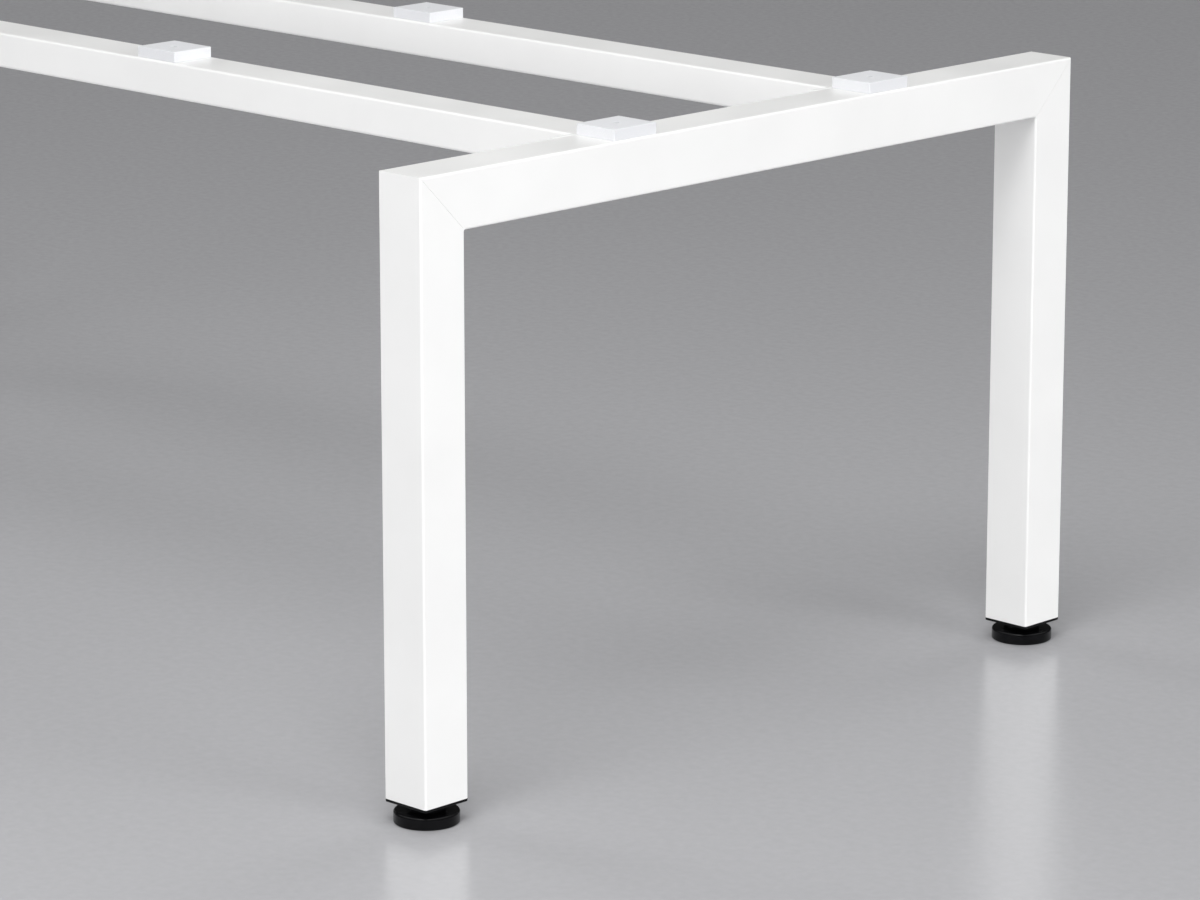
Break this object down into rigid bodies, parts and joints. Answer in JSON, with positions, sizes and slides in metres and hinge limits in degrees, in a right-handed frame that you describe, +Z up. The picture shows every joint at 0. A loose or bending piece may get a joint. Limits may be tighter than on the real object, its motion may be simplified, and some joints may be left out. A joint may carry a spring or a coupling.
{
  "type": "desk frame",
  "caption": "White steel desk frame: mitred square-tube portals joined by bolted beams, spacer blocks for a floating top, and black screw feet for levelling.",
  "frame": {"origin": "on the floor, midway between the four feet, with every foot screwed fully in", "axes": "+X along the desk, +Y across it, away from the side that the picture looks from, +Z up"},
  "size_m": [2.198, 1.008, 0.682],
  "materials": {
    "white_powder_coat": "white powder coat, fine satin",
    "white_plastic": "white moulded plastic",
    "black_plastic": "black moulded plastic, satin",
    "zinc_plated_steel": "bright zinc plate"
  },
  "bodies": {
    "frame": {"beam_bolts": "zinc_plated_steel", "beam_rivet_nuts": "zinc_plated_steel", "beam_washers": "zinc_plated_steel", "front_beam": "white_powder_coat", "front_beam_left_plate": "white_powder_coat", "front_beam_right_plate": "white_powder_coat", "left_cross_tube": "white_powder_coat", "left_front_beam_spacer": "white_plastic", "left_front_foot_nut": "zinc_plated_steel", "left_front_leg": "white_powder_coat", "left_front_leg_plug": "black_plastic", "left_front_portal_spacer": "white_plastic", "left_rear_beam_spacer": "white_plastic", "left_rear_foot_nut": "zinc_plated_steel", "left_rear_leg": "white_powder_coat", "left_rear_leg_plug": "black_plastic", "left_rear_portal_spacer": "white_plastic", "rear_beam": "white_powder_coat", "rear_beam_left_plate": "white_powder_coat", "rear_beam_right_plate": "white_powder_coat", "right_cross_tube": "white_powder_coat", "right_front_beam_spacer": "white_plastic", "right_front_foot_nut": "zinc_plated_steel", "right_front_leg": "white_powder_coat", "right_front_leg_plug": "black_plastic", "right_front_portal_spacer": "white_plastic", "right_rear_beam_spacer": "white_plastic", "right_rear_foot_nut": "zinc_plated_steel", "right_rear_leg": "white_powder_coat", "right_rear_leg_plug": "black_plastic", "right_rear_portal_spacer": "white_plastic"},
    "right_front_pad": {"right_front_foot_pad": "black_plastic"},
    "right_front_screw": {"right_front_foot_spindle": "zinc_plated_steel", "right_front_foot_collar": "black_plastic"},
    "right_rear_pad": {"right_rear_foot_pad": "black_plastic"},
    "right_rear_screw": {"right_rear_foot_spindle": "zinc_plated_steel", "right_rear_foot_collar": "black_plastic"},
    "left_front_pad": {"left_front_foot_pad": "black_plastic"},
    "left_front_screw": {"left_front_foot_spindle": "zinc_plated_steel", "left_front_foot_collar": "black_plastic"},
    "left_rear_pad": {"left_rear_foot_pad": "black_plastic"},
    "left_rear_screw": {"left_rear_foot_spindle": "zinc_plated_steel", "left_rear_foot_collar": "black_plastic"}
  },
  "joints": [
    {"name": "right_front_foot_lift", "type": "slide", "parent": "frame", "child": "right_front_pad", "axis": [0, 0, -1], "range_m": [0, 0.015]},
    {"name": "right_front_foot_turn", "type": "hinge", "parent": "right_front_pad", "child": "right_front_screw", "pos_m": [1.065, -0.47, 0.013], "axis": [0, 0, -1], "range_deg": [0, 3600]},
    {"name": "right_rear_foot_lift", "type": "slide", "parent": "frame", "child": "right_rear_pad", "axis": [0, 0, -1], "range_m": [0, 0.015]},
    {"name": "right_rear_foot_turn", "type": "hinge", "parent": "right_rear_pad", "child": "right_rear_screw", "pos_m": [1.065, 0.47, 0.013], "axis": [0, 0, -1], "range_deg": [0, 3600]},
    {"name": "left_front_foot_lift", "type": "slide", "parent": "frame", "child": "left_front_pad", "axis": [0, 0, -1], "range_m": [0, 0.015]},
    {"name": "left_front_foot_turn", "type": "hinge", "parent": "left_front_pad", "child": "left_front_screw", "pos_m": [-1.065, -0.47, 0.013], "axis": [0, 0, -1], "range_deg": [0, 3600]},
    {"name": "left_rear_foot_lift", "type": "slide", "parent": "frame", "child": "left_rear_pad", "axis": [0, 0, -1], "range_m": [0, 0.015]},
    {"name": "left_rear_foot_turn", "type": "hinge", "parent": "left_rear_pad", "child": "left_rear_screw", "pos_m": [-1.065, 0.47, 0.013], "axis": [0, 0, -1], "range_deg": [0, 3600]}
  ],
  "couplings": [
    {"joint": "right_front_foot_turn", "follows": "right_front_foot_lift", "rad_per_m": 4188.8},
    {"joint": "right_rear_foot_turn", "follows": "right_rear_foot_lift", "rad_per_m": 4188.8},
    {"joint": "left_front_foot_turn", "follows": "left_front_foot_lift", "rad_per_m": 4188.8},
    {"joint": "left_rear_foot_turn", "follows": "left_rear_foot_lift", "rad_per_m": 4188.8}
  ]
}
